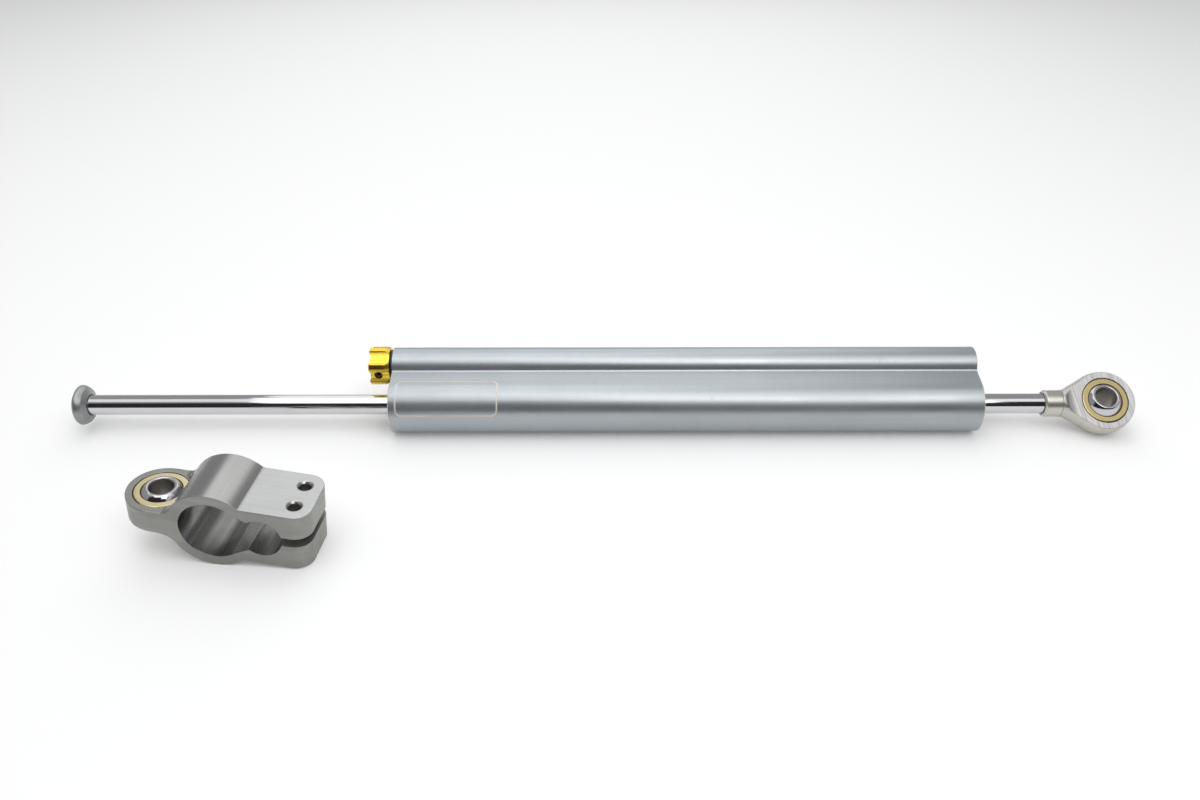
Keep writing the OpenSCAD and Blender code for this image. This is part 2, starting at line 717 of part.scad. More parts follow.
module adjuster_knob() {
    r = knob_d / 2;
    half_flute = flute_step / 2 - asin(ridge_w / 2 / r);
    lip = r * [cos(half_flute), sin(half_flute)];
    floor_r = r - flute_depth;
    flute_r = (pow(lip[0] - floor_r, 2) + pow(lip[1], 2)) / (2 * (lip[0] - floor_r));
    knob_place = -knob_gap - knob_len;
    color([0.85, 0.62, 0.12]) on_lobe_axis() at_end(-1) translate([knob_place, 0, 0]) difference() {
        turned([
            [dish_depth, 0], [dish_depth, floor_r - 1.6], [0.6, floor_r], [0, r - 0.4], [0.3, r],
            [knob_len - 1.8, r], [knob_len, r - 1], [knob_len, shaft_d / 2],
            [shaft_blind, shaft_d / 2], [shaft_blind, 0]]);
        for (k = [1:flutes]) rotate([ridge_angle + (k - 0.5) * flute_step, 0, 0])
            translate([-1, -floor_r - flute_r, 0]) rotate([0, 90, 0])
                cylinder(h = knob_len + 2, r = flute_r);
        translate([grub_place, 0, 0]) rotate([90 + grub_angle, 0, 0]) cylinder(h = r + 1, d = grub_d);
    }
}

module knob_grub_screw() {
    screw_len = knob_d / 2 - flute_depth - shaft_d / 2 - 0.9;
    color([0.15, 0.15, 0.16]) on_lobe_axis() at_end(-1)
        translate([grub_place - knob_gap - knob_len, 0, 0]) rotate([90 + grub_angle, 0, 0])
            translate([0, 0, shaft_d / 2 + run]) difference() {
                cylinder(h = screw_len, d = grub_d - 2 * run);
                translate([0, 0, screw_len - 1.2]) cylinder(h = 2, d = 1.5 / cos(30), $fn = 6);
            }
}

// Places the clamp on the bench: inside, +X points to the ears and +Y along its bore.
module at_clamp() {
    translate([clamp_x, clamp_y, bench_z + ring_r]) rotate([0, 0, clamp_turn]) rotate([0, clamp_lean, 0])
        children();
}

// One blend in the corner between the ring and a flat, drawn right through the clamp.
module clamp_corner(level, blend, side) {
    upright(clamp_w + 4) corner_fill(ring_r, level, blend, side);
}

module clamp_block() {
    ear_top_blend = 2;
    ear_bottom_blend = 4;
    lug_top_blend = 4.5;
    lug_bottom_blend = 8;
    lug_half = race_w / 2;
    upright(clamp_w + 4) circle(ring_r);
    upright(clamp_w + 4) translate([0, -ear_top]) square([ear_reach + 1, 2 * ear_top]);
    upright(clamp_w + 4) translate([-lug_reach - clamp_w, -lug_half]) square([lug_reach + clamp_w, race_w]);
    clamp_corner(ear_top, ear_top_blend, 1);
    clamp_corner(lug_half, lug_top_blend, -1);
    mirror([0, 0, 1]) clamp_corner(ear_top, ear_bottom_blend, 1);
    mirror([0, 0, 1]) clamp_corner(lug_half, lug_bottom_blend, -1);
}

module clamp_plan() {
    half = clamp_w / 2;
    translate([-lug_reach, 0]) circle(half + sink);
    translate([-lug_reach, -half]) square([lug_reach + ear_reach - ear_corner, clamp_w]);
    translate([0, ear_corner - half]) square([ear_reach, clamp_w - 2 * ear_corner]);
    for (side = [-1, 1]) translate([ear_reach - ear_corner, side * (half - ear_corner)])
        circle(ear_corner + sink);
}

module clamp_cuts() {
    head_depth = 4.5;
    sink_d = 5.4;
    sink_depth = (sink_d - thread_d) / 2;
    lug_face_r = race_r + 0.6;
    upright(clamp_w + 2) rotate(-90) section(clamp_clear);
    translate([lobe_offset, -clamp_w, -slit_h / 2]) cube([ear_reach, 2 * clamp_w, slit_h]);
    translate([-lug_reach, 0, 0]) cylinder(h = 2 * race_w, r = race_r, center = true);
    for (side = [0, 1]) mirror([0, 0, side]) translate([-lug_reach, 0, race_w / 2])
        cylinder(h = ring_r, r = lug_face_r);
    for (side = [-1, 1]) translate([bolt_reach, side * bolt_pitch / 2, 0]) {
        cylinder(h = ear_top + 1, d = thread_d);
        translate([0, 0, ear_top - sink_depth])
            cylinder(h = sink_depth + 1, r1 = thread_d / 2, r2 = sink_d / 2 + 1);
        translate([0, 0, -ear_top - 1]) cylinder(h = ear_top + 1, d = bolt_clear_d);
        translate([0, 0, -ear_top - 1]) cylinder(h = head_depth + 1, d = bolt_head_d);
    }
}

module clamp_body() {
    color([0.6, 0.6, 0.58]) at_clamp() difference() {
        intersection() {
            clamp_block();
            linear_extrude(2 * ring_d, center = true) clamp_plan();
        }
        clamp_cuts();
    }
}

module clamp_race() {
    color([0.82, 0.72, 0.42]) at_clamp() translate([-lug_reach, 0, 0]) race();
}

module clamp_ball() {
    color([0.83, 0.83, 0.86]) at_clamp() translate([-lug_reach, 0, 0]) ball();
}

housing();
left_rod_guide();
right_rod_guide();
left_rod_bush();
right_rod_bush();
left_rod_seal();
right_rod_seal();
left_wiper();
right_wiper();
guide_o_rings();
guide_circlips();
adjuster_gland();
shaft_o_ring();
knob_washer();
valve_seat();
channel_plug();
plug_o_ring();
floating_piston();
floating_o_ring();
piston_band();
piston_rod();
piston();
piston_o_ring();
piston_circlips();
end_button();
rod_eye();
eye_race();
eye_ball();
adjuster_knob();
knob_grub_screw();
adjuster_shaft();
metering_needle();
clamp_body();
clamp_race();
clamp_ball();
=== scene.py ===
# Steering damper on a pale bench, with its loose frame clamp in front of it.
# Lengths are metres, in the CAD frame: the rod runs along X, and the viewer stands on the -Y side.
import json
import math

import bmesh
import bpy
from mathutils import Matrix, Vector


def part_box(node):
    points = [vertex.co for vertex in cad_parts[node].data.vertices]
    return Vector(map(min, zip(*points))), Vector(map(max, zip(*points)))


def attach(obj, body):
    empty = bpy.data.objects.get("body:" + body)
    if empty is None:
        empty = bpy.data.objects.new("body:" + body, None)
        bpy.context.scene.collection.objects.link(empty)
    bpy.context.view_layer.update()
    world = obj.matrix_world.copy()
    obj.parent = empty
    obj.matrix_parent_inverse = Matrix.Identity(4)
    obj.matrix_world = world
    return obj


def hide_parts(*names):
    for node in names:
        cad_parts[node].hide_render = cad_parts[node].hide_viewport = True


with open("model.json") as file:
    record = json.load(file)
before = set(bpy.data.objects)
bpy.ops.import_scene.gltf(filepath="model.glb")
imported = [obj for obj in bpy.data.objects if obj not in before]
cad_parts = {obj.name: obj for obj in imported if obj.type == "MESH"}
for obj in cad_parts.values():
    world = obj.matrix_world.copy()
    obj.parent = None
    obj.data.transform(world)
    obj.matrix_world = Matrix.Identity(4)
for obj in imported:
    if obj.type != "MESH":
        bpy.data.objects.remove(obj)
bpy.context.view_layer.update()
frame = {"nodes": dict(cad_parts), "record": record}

MM = 0.001
MICROMETRE = 1e-6
nodes = frame["nodes"]
record = frame["record"]
body_of = {node: body for body, names in record["behaviour"]["bodies"].items() for node in names}
slot_of = {part["node"]: part["material_slot"] for part in record["subparts"]}
mounts = {mount["name"]: mount for mount in record["mounts"]}


# Places and axes

def mount_place(name):
    """Where one of the record's mounts is."""
    return Vector(mounts[name]["pos_m"])


def mount_axis(name):
    """The way one of the record's mounts points."""
    return Vector(mounts[name]["axis"])


def off_axis(place, centre, axis):
    """How far a place is from an axis."""
    arm = place - centre
    return (arm - axis * arm.dot(axis)).length


# The bench under the housing, the housing's right end, and the axes of its rod and knob.
bench_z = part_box("housing")[0].z
housing_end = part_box("housing")[1].x
rod_axis = Vector((1, 0, 0))
rod_centre = Vector((0, 0, 0))
knob_low, knob_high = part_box("adjuster_knob")
knob_centre = (knob_low + knob_high) / 2
tube_up = (knob_centre - Vector((knob_centre.x, 0, 0))).normalized()
viewer_side = rod_axis.cross(tube_up)

# The rod eye, whose ball is shown tilted in it.
ball_lean = math.radians(11)
ball_axis = mount_axis("rod_eye_bore")
eye_centre = mount_place("rod_eye_bore")
eye_axis = Matrix.Rotation(ball_lean, 3, "X") @ ball_axis
eye_side = rod_axis.cross(eye_axis)
grain_slope = 0.2
face_grain = (rod_axis * grain_slope - tube_up).normalized()

# The clamp: up through its race, along its bore, and across from the race to the ears.
clamp_eye_centre = mount_place("clamp_eye_bore")
clamp_centre = mount_place("clamp_bore")
clamp_up = mount_axis("clamp_eye_bore")
clamp_along = mount_axis("clamp_bore")
clamp_across = clamp_up.cross(clamp_along)
if clamp_across.dot(clamp_eye_centre - clamp_centre) > 0:
    clamp_across.negate()
thread_mouths = {name: mount_place(name) for name in ("front_bolt_thread", "rear_bolt_thread")}


# Node trees

def plug(tree, value, socket):
    """Links a socket to another socket, or sets it to a plain value."""
    if isinstance(value, bpy.types.NodeSocket):
        tree.links.new(value, socket)
    else:
        socket.default_value = value


def add(tree, kind, inputs=None, **settings):
    """Adds one node. Inputs are given by name or number, and settings are the node's own."""
    node = tree.nodes.new(kind)
    for name, value in settings.items():
        setattr(node, name, value)
    for name, value in (inputs or {}).items():
        plug(tree, value, node.inputs[name])
    return node


def calc(tree, operation, *values):
    """One Math node's result."""
    return add(tree, "ShaderNodeMath", dict(enumerate(values)), operation=operation).outputs[0]


def vector_calc(tree, operation, *values):
    """One Vector Math node."""
    return add(tree, "ShaderNodeVectorMath", dict(enumerate(values)), operation=operation)


def drawn_out(tree, direction, length):
    """A direction times a length."""
    inputs = {0: direction, "Scale": length}
    return add(tree, "ShaderNodeVectorMath", inputs, operation="SCALE").outputs[0]


def mix_colour(tree, factor, first, second):
    """Mixes two colours, from first at 0 to second at 1."""
    inputs = {0: factor, 6: first, 7: second}
    return add(tree, "ShaderNodeMix", inputs, data_type="RGBA").outputs[2]


def remap(tree, value, low, high, to_low=0.0, to_high=1.0):
    """Stretches a value from one range to another, held within the second."""
    inputs = {0: value, 1: low, 2: high, 3: to_low, 4: to_high}
    return add(tree, "ShaderNodeMapRange", inputs).outputs[0]


def noise(tree, vector, scale, detail=2.0, rough=0.5):
    """Noise around 0.5 on a vector."""
    inputs = {"Vector": vector, "Scale": scale, "Detail": detail, "Roughness": rough}
    return add(tree, "ShaderNodeTexNoise", inputs).outputs[0]


def object_place(tree):
    """The place of a point on the object."""
    return add(tree, "ShaderNodeTexCoord").outputs["Object"]


def new_group(name, inputs, outputs):
    """A shader node group, with its input and output nodes. Sockets are given as name and type."""
    tree = bpy.data.node_groups.new(name, "ShaderNodeTree")
    for socket, kind in inputs.items():
        tree.interface.new_socket(socket, in_out="INPUT", socket_type="NodeSocket" + kind)
    for socket, kind in outputs.items():
        tree.interface.new_socket(socket, in_out="OUTPUT", socket_type="NodeSocket" + kind)
    entry = tree.nodes.new("NodeGroupInput")
    leave = tree.nodes.new("NodeGroupOutput")
    return tree, entry.outputs, leave.inputs


def place_group(tree, group, **inputs):
    """Places a group in a material. An input's name has _ for a space."""
    node = add(tree, "ShaderNodeGroup", node_tree=group)
    for name, value in inputs.items():
        plug(tree, value, node.inputs[name.replace("_", " ").capitalize()])
    return node.outputs


# Effects that several finishes share

HEIGHT_AND_MASK = {"Height": "Float", "Mask": "Float"}
mask_low = 0.35
mask_high = 0.65


def soft_mask(tree, value):
    """Turns noise into a mask with soft borders."""
    return remap(tree, value, mask_low, mask_high)


def blasted_grain_group():
    """Fine even pits, as bead blasting or moulding leaves."""
    tree, given, out = new_group("blasted_grain", {"Grain size": "Float"}, HEIGHT_AND_MASK)
    coarse_scale = 0.31
    fine_share = 0.7
    coarse_share = 0.3
    place = object_place(tree)
    scale = calc(tree, "DIVIDE", 1.0, given["Grain size"])
    fine = noise(tree, place, scale, detail=1.0)
    coarse = noise(tree, place, calc(tree, "MULTIPLY", scale, coarse_scale))
    fine_part = calc(tree, "MULTIPLY", fine, fine_share)
    coarse_part = calc(tree, "MULTIPLY", coarse, coarse_share)
    plug(tree, calc(tree, "ADD", fine_part, coarse_part), out["Height"])
    plug(tree, soft_mask(tree, coarse), out["Mask"])
    return tree


def brushed_streaks_group():
    """Fine streaks drawn out along one direction."""
    tree, given, out = new_group(
        "brushed_streaks", {"Along": "Vector", "Streak width": "Float"}, HEIGHT_AND_MASK)
    stretch_share = 0.985
    patch_scale = 0.35
    place = object_place(tree)
    run = vector_calc(tree, "DOT_PRODUCT", place, given["Along"]).outputs["Value"]
    back = drawn_out(tree, given["Along"], calc(tree, "MULTIPLY", run, stretch_share))
    squeezed = vector_calc(tree, "SUBTRACT", place, back).outputs[0]
    scale = calc(tree, "DIVIDE", 1.0, given["Streak width"])
    patches = noise(tree, squeezed, calc(tree, "MULTIPLY", scale, patch_scale))
    plug(tree, noise(tree, squeezed, scale, detail=3.0, rough=0.6), out["Height"])
    plug(tree, soft_mask(tree, patches), out["Mask"])
    return tree


def turned_rings_group():
    """Fine tool marks that run round an axis, as a lathe leaves."""
    tree, given, out = new_group(
        "turned_rings", {"Centre": "Vector", "Axis": "Vector", "Ring width": "Float"}, HEIGHT_AND_MASK)
    patch_scale = 0.2
    arm = vector_calc(tree, "SUBTRACT", object_place(tree), given["Centre"]).outputs[0]
    along = vector_calc(tree, "DOT_PRODUCT", arm, given["Axis"]).outputs["Value"]
    outward = vector_calc(tree, "SUBTRACT", arm, drawn_out(tree, given["Axis"], along)).outputs[0]
    radius = vector_calc(tree, "LENGTH", outward).outputs["Value"]
    profile = add(tree, "ShaderNodeCombineXYZ", {0: along, 1: radius}).outputs[0]
    scale = calc(tree, "DIVIDE", 1.0, given["Ring width"])
    patches = noise(tree, profile, calc(tree, "MULTIPLY", scale, patch_scale))
    plug(tree, noise(tree, profile, scale, rough=0.6), out["Height"])
    plug(tree, soft_mask(tree, patches), out["Mask"])
    return tree


def handling_group():
    """Soft patches where hands and cloths have been, and rare small specks."""
    tree, given, out = new_group(
        "handling", {"Patch size": "Float"}, {"Patches": "Float", "Specks": "Float"})
    patch_low = 0.4
    patch_high = 0.65
    speck_scale = 14.0
    speck_low = 0.69
    speck_high = 0.74
    place = object_place(tree)
    scale = calc(tree, "DIVIDE", 1.0, given["Patch size"])
    patches = noise(tree, place, scale, detail=4.0, rough=0.6)
    specks = noise(tree, place, calc(tree, "MULTIPLY", scale, speck_scale))
    plug(tree, remap(tree, patches, patch_low, patch_high), out["Patches"])
    plug(tree, remap(tree, specks, speck_low, speck_high), out["Specks"])
    return tree


def worn_edges_group():
    """Marks edges, where the surface turns within the given reach."""
    tree, given, out = new_group("worn_edges", {"Reach": "Float"}, {"Mask": "Float"})
    whole_at = 0.95
    worn_at = 0.8
    rounded = add(tree, "ShaderNodeBevel", {"Radius": given["Reach"]}, samples=4).outputs[0]
    true_normal = add(tree, "ShaderNodeNewGeometry").outputs["Normal"]
    same = vector_calc(tree, "DOT_PRODUCT", rounded, true_normal).outputs["Value"]
    plug(tree, remap(tree, same, whole_at, worn_at), out["Mask"])
    return tree


blasted_grain = blasted_grain_group()
brushed_streaks = brushed_streaks_group()
turned_rings = turned_rings_group()
handling = handling_group()
worn_edges = worn_edges_group()


# Finishes

BLACK = (0.0, 0.0, 0.0, 1.0)
drift_share = 0.9
drift_roughness = 1.18
speck_darkness = 0.45
speck_share = 0.2
worn_share = 0.6


def mark(group, height=1.0, darken=0.1, roughen=0.03, **inputs):
    """One effect on a finish: its height in micrometres, and how much it darkens and roughens."""
    return dict(group=group, height=height, darken=darken, roughen=roughen, inputs=inputs)


def grain(size, **looks):
    """Blasted or moulded grain, with its size in millimetres."""
    return mark(blasted_grain, grain_size=size * MM, **looks)


def streaks(along, width, **looks):
    """Brushed streaks, with their width in millimetres."""
    return mark(brushed_streaks, along=along, streak_width=width * MM, **looks)


def rings(centre, axis, width, **looks):
    """Turned rings, with their width in millimetres."""
    return mark(turned_rings, centre=centre, axis=axis, ring_width=width * MM, **looks)


def finish(name, colour, rough, marks, metallic=1.0, second=None, patch=14.0, edge=None, edge_reach=0.35):
    """One material: a colour that drifts to a second one, its marks, handling and worn edges.

    The patches of handling and the reach of the worn edges are in millimetres.
    """
    made = bpy.data.materials.new(name)
    made.use_nodes = True
    tree = made.node_tree
    shader = tree.nodes["Principled BSDF"]
    touched = place_group(tree, handling, patch_size=patch * MM)
    base = (*colour, 1.0)
    drift = (*(second or [c * drift_share for c in colour]), 1.0)
    tint = mix_colour(tree, touched["Patches"], base, drift)
    dark = mix_colour(tree, speck_darkness, drift, BLACK)
    tint = mix_colour(tree, calc(tree, "MULTIPLY", touched["Specks"], speck_share), tint, dark)
    shine = remap(tree, touched["Patches"], 0.0, 1.0, rough, rough * drift_roughness)
    height = None
    for each in marks:
        put = place_group(tree, each["group"], **each["inputs"])
        tint = mix_colour(tree, calc(tree, "MULTIPLY", put["Mask"], each["darken"]), tint, BLACK)
        shine = calc(tree, "ADD", shine, calc(tree, "MULTIPLY", put["Mask"], each["roughen"]))
        raised = calc(tree, "MULTIPLY", put["Height"], each["height"])
        height = raised if height is None else calc(tree, "ADD", height, raised)
    if edge:
        worn = place_group(tree, worn_edges, reach=edge_reach * MM)
        tint = mix_colour(tree, calc(tree, "MULTIPLY", worn["Mask"], worn_share), tint, (*edge, 1.0))
    bump = add(tree, "ShaderNodeBump", {"Strength": 1.0, "Distance": MICROMETRE, "Height": height})
    shader.inputs["Metallic"].default_value = metallic
    plug(tree, tint, shader.inputs["Base Color"])
    plug(tree, shine, shader.inputs["Roughness"])
    plug(tree, bump.outputs[0], shader.inputs["Normal"])
    return made


def bearing_finish(name, colour, rough, centre, axis, **looks):
    """A turned bearing ring about its own axis."""
    return finish(name, colour, rough, [rings(centre, axis, 0.12, height=1.2, roughen=0.04)], **looks)


lobe_marks = [rings(knob_centre, rod_axis, 0.12, height=1.5, darken=0.06)]
rod_marks = [rings(rod_centre, rod_axis, 0.15, height=1.2, darken=0.05)]
LOOKS = {
    "housing_anodised": dict(
        colour=(0.43, 0.462, 0.484), rough=0.29, metallic=0.82, second=(0.415, 0.447, 0.468),
        patch=40.0, edge=(0.58, 0.62, 0.64),
        marks=[grain(0.16, height=9.0, darken=0.05), streaks(rod_axis, 0.5, height=3.0, darken=0.04)]),
    "engraved_line": dict(
        colour=(0.78, 0.74, 0.68), rough=0.5, metallic=0.3, second=(0.73, 0.69, 0.63),
        marks=[grain(0.1, height=4.0)]),
    "rod_chrome": dict(
        colour=(0.63, 0.63, 0.65), rough=0.05, second=(0.61, 0.61, 0.63),
        marks=[rings(rod_centre, rod_axis, 0.05, height=0.12, darken=0.02, roughen=0.02)]),
    "button_anodised": dict(
        colour=(0.35, 0.363, 0.36), rough=0.33, metallic=0.88, second=(0.32, 0.333, 0.33),
        edge=(0.5, 0.52, 0.51), marks=[grain(0.15, height=5.0, darken=0.08)] + rod_marks),
    "eye_alloy": dict(
        colour=(0.63, 0.61, 0.56), rough=0.3, metallic=0.92, second=(0.58, 0.56, 0.51),
        edge=(0.8, 0.78, 0.72), marks=[rings(rod_centre, rod_axis, 0.12, height=1.5, darken=0.06)]),
    "eye_face": dict(
        colour=(0.58, 0.58, 0.565), rough=0.2, second=(0.53, 0.53, 0.52), edge=(0.8, 0.79, 0.75),
        marks=[streaks(face_grain, 0.28, height=6.0, darken=0.3, roughen=0.1),
               streaks(face_grain, 0.08, height=2.0)]),
    # Painted shade: the run-outs of the eye's flats are coloured darker for the shade in these hollow
    # steps; their streaks are the real milling.
    "eye_run_out_shade": dict(
        colour=(0.36, 0.36, 0.36), rough=0.15, second=(0.31, 0.31, 0.31),
        marks=[streaks(face_grain, 0.28, height=3.0, darken=0.2, roughen=0.05)]),
    "knob_gold": dict(
        colour=(0.83, 0.59, 0.08), rough=0.2, second=(0.79, 0.55, 0.07), edge=(0.9, 0.7, 0.22),
        edge_reach=0.2, marks=lobe_marks),
    # Painted shade: the clamp's bore wall is coloured darker than the rest of the clamp for the shade
    # inside the hole; its streaks are real.
    "clamp_bore_shade": dict(
        colour=(0.25, 0.25, 0.24), rough=0.22, second=(0.21, 0.21, 0.20),
        marks=[streaks(clamp_along, 0.5, height=0.6, darken=0.22, roughen=0.05)]),
    "clamp_alloy": dict(
        colour=(0.40, 0.40, 0.39), rough=0.24, second=(0.38, 0.38, 0.37), edge=(0.65, 0.65, 0.62),
        marks=[streaks(clamp_along, 0.45, height=0.5, darken=0.06)]),
    # Partly painted shade: the milled streaks and rougher finish are real, while the colour darker than
    # the clamp's alloy stands in for shade; the tapped holes' walls get it too, as the shade inside them.
    "clamp_milled_and_shaded": dict(
        colour=(0.31, 0.31, 0.29), rough=0.38, metallic=0.95, second=(0.29, 0.29, 0.27),
        edge=(0.62, 0.62, 0.59),
        marks=[streaks(clamp_across, 0.5, height=2.0, darken=0.08, roughen=0.05)]),
    "clamp_slit": dict(
        colour=(0.30, 0.30, 0.29), rough=0.5, second=(0.26, 0.26, 0.25),
        marks=[streaks(clamp_across, 0.3, height=3.0, darken=0.15)]),
    # Painted highlight: the ears' outer flats are coloured lighter than the clamp's alloy for the light
    # that falls on them; their streaks are real.
    "clamp_ear_lit_top": dict(
        colour=(0.49, 0.497, 0.49), rough=0.3, metallic=0.9, second=(0.47, 0.477, 0.47),
        edge=(0.65, 0.65, 0.63), marks=[streaks(clamp_across, 0.35, darken=0.05)]),
    # Painted shadow: dark brown on the races' chamfers and ball seat stands in for the shade in the gap
    # between race and ball.
    "race_gap_shadow": dict(
        colour=(0.20, 0.13, 0.06), rough=0.3, second=(0.15, 0.09, 0.04),
        marks=[grain(0.15, height=2.0, darken=0.2)]),
    # Painted highlight: the thread ridges are coloured far paler than the clamp's alloy so that they show
    # lit inside the dark holes.
    "thread_flank_highlight": dict(
        colour=(0.85, 0.85, 0.83), rough=0.35, metallic=0.6, second=(0.78, 0.78, 0.76),
        marks=[grain(0.15, height=2.0)]),
    # Painted shade: the balls' bores are coloured darker and warmer than the ball steel for the shade
    # inside them.
    "ball_bore": dict(
        colour=(0.36, 0.335, 0.315), rough=0.3, metallic=0.8, second=(0.29, 0.27, 0.25),
        marks=[grain(0.15, height=2.0, darken=0.2)]),
    "inner_alloy": dict(
        colour=(0.52, 0.53, 0.54), rough=0.28, second=(0.46, 0.47, 0.48), marks=rod_marks),
    "black_rubber": dict(
        colour=(0.016, 0.016, 0.018), rough=0.55, metallic=0.0, second=(0.03, 0.03, 0.032),
        marks=[grain(0.2, height=6.0, darken=0.2)]),
    "black_plastic": dict(
        colour=(0.018, 0.018, 0.018), rough=0.4, metallic=0.0, second=(0.03, 0.03, 0.03),
        marks=[grain(0.25, height=5.0, darken=0.2)]),
    "spring_steel": dict(
        colour=(0.09, 0.09, 0.095), rough=0.35, second=(0.13, 0.12, 0.11),
        marks=[grain(0.2, height=3.0, darken=0.2)]),
    "fine_steel": dict(colour=(0.5, 0.5, 0.51), rough=0.25, marks=lobe_marks),
    "bush_bronze": dict(
        colour=(0.22, 0.15, 0.08), rough=0.45, second=(0.14, 0.1, 0.07),
        marks=[grain(0.2, height=4.0, darken=0.2)]),
    "band_polymer": dict(
        colour=(0.04, 0.12, 0.11), rough=0.5, metallic=0.0, marks=[grain(0.2, height=4.0, darken=0.2)]),
}
finishes = {name: finish(name, **look) for name, look in LOOKS.items()}

SEAT_BRASS = (0.80, 0.63, 0.30)
BALL_STEEL = (0.60, 0.59, 0.63)
own_finishes = {
    "eye_race": bearing_finish(
        "eye_race_brass", (0.45, 0.37, 0.18), 0.2, eye_centre, eye_axis, second=(0.40, 0.33, 0.17)),
    "clamp_race": bearing_finish(
        "clamp_race_brass", (0.66, 0.58, 0.35), 0.22, clamp_eye_centre, clamp_up,
        second=(0.60, 0.53, 0.33)),
    "valve_seat": bearing_finish("valve_seat_brass", SEAT_BRASS, 0.25, knob_centre, rod_axis),
    "eye_ball": bearing_finish("eye_ball_steel", BALL_STEEL, 0.07, eye_centre, eye_axis),
    "clamp_ball": bearing_finish("clamp_ball_steel", BALL_STEEL, 0.07, clamp_eye_centre, clamp_up),
}


def finish_of(node):
    """A node's own finish, or else that of its material slot."""
    return own_finishes.get(node) or finishes[slot_of[node]]


# Where a piece has a second finish. Each test takes a face's middle and normal.

# The housing and the line engraved in its front.
housing_r = 11 * MM
tube_r = 7.3 * MM
tube_gap = 16.4 * MM
flat_lean = math.radians(30)
flat_normal = (viewer_side * math.cos(flat_lean) + tube_up * math.sin(flat_lean)).normalized()
line_depth = 0.04 * MM
line_top = 0.75 * housing_r
skin_from = 0.8 * housing_r
flat_from = 0.5 * housing_r

# The rod eye.
eye_face_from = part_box("rod_eye")[0].x + 8 * MM
run_out_reach = 8 * MM
ball_bore_reach = 4.3 * MM

# The clamp, with reaches from its bore's axis. The slack is a share of a radius.
ring_reach = 17 * MM
ear_from = 13 * MM
slit_half = 2.2 * MM
hole_slack = 1.03

# The thread in the clamp's tapped holes. Its foot, crest and start are shares of its pitch.
thread_pitch = 0.7 * MM
thread_major = 2.0 * MM
thread_minor = 1.65 * MM
thread_reach = 9.4 * MM
foot_half_share = 0.45
crest_half_share = 0.06
start_share = 0.5
thread_slack = 1.02

# How much of a normal points along an axis, from 0 to 1, at which a face counts.
faces_along_bore = 0.75
walls_bore = 0.5
stands_upright = 0.25
lies_flat = 0.9
lies_dead_flat = 0.9999
lies_on_race = 0.97
lies_on_eye = 0.55
turns_to_neck = 0.12


def in_engraving(place, normal):
    """The floor and walls of the engraved line on the housing's front."""
    away = place - rod_axis * place.x
    up = away.dot(tube_up)
    round_reach = away.length if up < flat_from else 0
    return (away.dot(viewer_side) > 0 and abs(place.x) < housing_end - line_depth
            and away.length > skin_from and up < line_top
            and max(round_reach, away.dot(flat_normal)) < housing_r - line_depth)


def on_clamp_side(place, normal):
    """The clamp's milled front and back, the rims of its lug and ears, and the lug's faces, which are
    also painted darker as shade.
    """
    reach = (place - clamp_centre).dot(clamp_across)
    upright = abs(normal.dot(clamp_up))
    return (abs(normal.dot(clamp_along)) > faces_along_bore
            or (upright < stands_upright and abs(reach) > ring_reach)
            or (upright > lies_flat and reach < -ring_reach))


def in_clamp_hole(place, normal):
    """The wall of the hole that the housing goes through, which is painted darker as the shade inside the
    hole.
    """
    lobe_centre = clamp_centre + clamp_across * tube_gap
    return abs(normal.dot(clamp_along)) < walls_bore and (
        off_axis(place, clamp_centre, clamp_along) < hole_slack * housing_r
        or off_axis(place, lobe_centre, clamp_along) < hole_slack * tube_r)


def in_clamp_slit(place, normal):
    """The sawn faces of the slit between the ears."""
    arm = place - clamp_centre
    return (arm.dot(clamp_across) > ring_reach and abs(arm.dot(clamp_up)) < slit_half
            and abs(normal.dot(clamp_up)) > lies_flat)


def on_clamp_ear(place, normal):
    """The flats outside on both ears, which are painted lighter than the rest of the clamp as the light
    on them.
    """
    reach = (place - clamp_centre).dot(clamp_across)
    return reach > ear_from and abs(normal.dot(clamp_up)) > lies_dead_flat


def in_tapped_hole(place, normal):
    """The walls of the clamp's tapped holes, which get the darker side finish as painted shade inside the
    holes.
    """
    reach = min(off_axis(place, mouth, clamp_up) for mouth in thread_mouths.values())
    return reach < thread_slack * thread_major


def on_race_rim(place, normal):
    """A race's chamfers and ball seat, which are painted dark brown as the shadow in the gap round the
    ball.
    """
    return max(abs(normal.dot(eye_axis)), abs(normal.dot(clamp_up))) < lies_on_race


def on_eye_face(place, normal):
    """The eye's milled flats, with their run-outs."""
    return abs(normal.dot(eye_axis)) > lies_on_eye and place.x > eye_face_from


def on_run_out(place, normal):
    """The hollow steps in which the eye's flats end towards its neck, which are painted darker as the
    shade in them.
    """
    return (abs(normal.x) > turns_to_neck and abs(normal.dot(eye_side)) < turns_to_neck
            and eye_face_from < place.x < eye_face_from + run_out_reach)


def in_eye_bore(place, normal):
    """The bore of the rod eye's ball, which is painted darker as the shade inside it."""
    return off_axis(place, eye_centre, ball_axis) < ball_bore_reach


def in_clamp_bore(place, normal):
    """The bore of the clamp's ball, which is painted darker as the shade inside it."""
    return off_axis(place, clamp_eye_centre, clamp_up) < ball_bore_reach


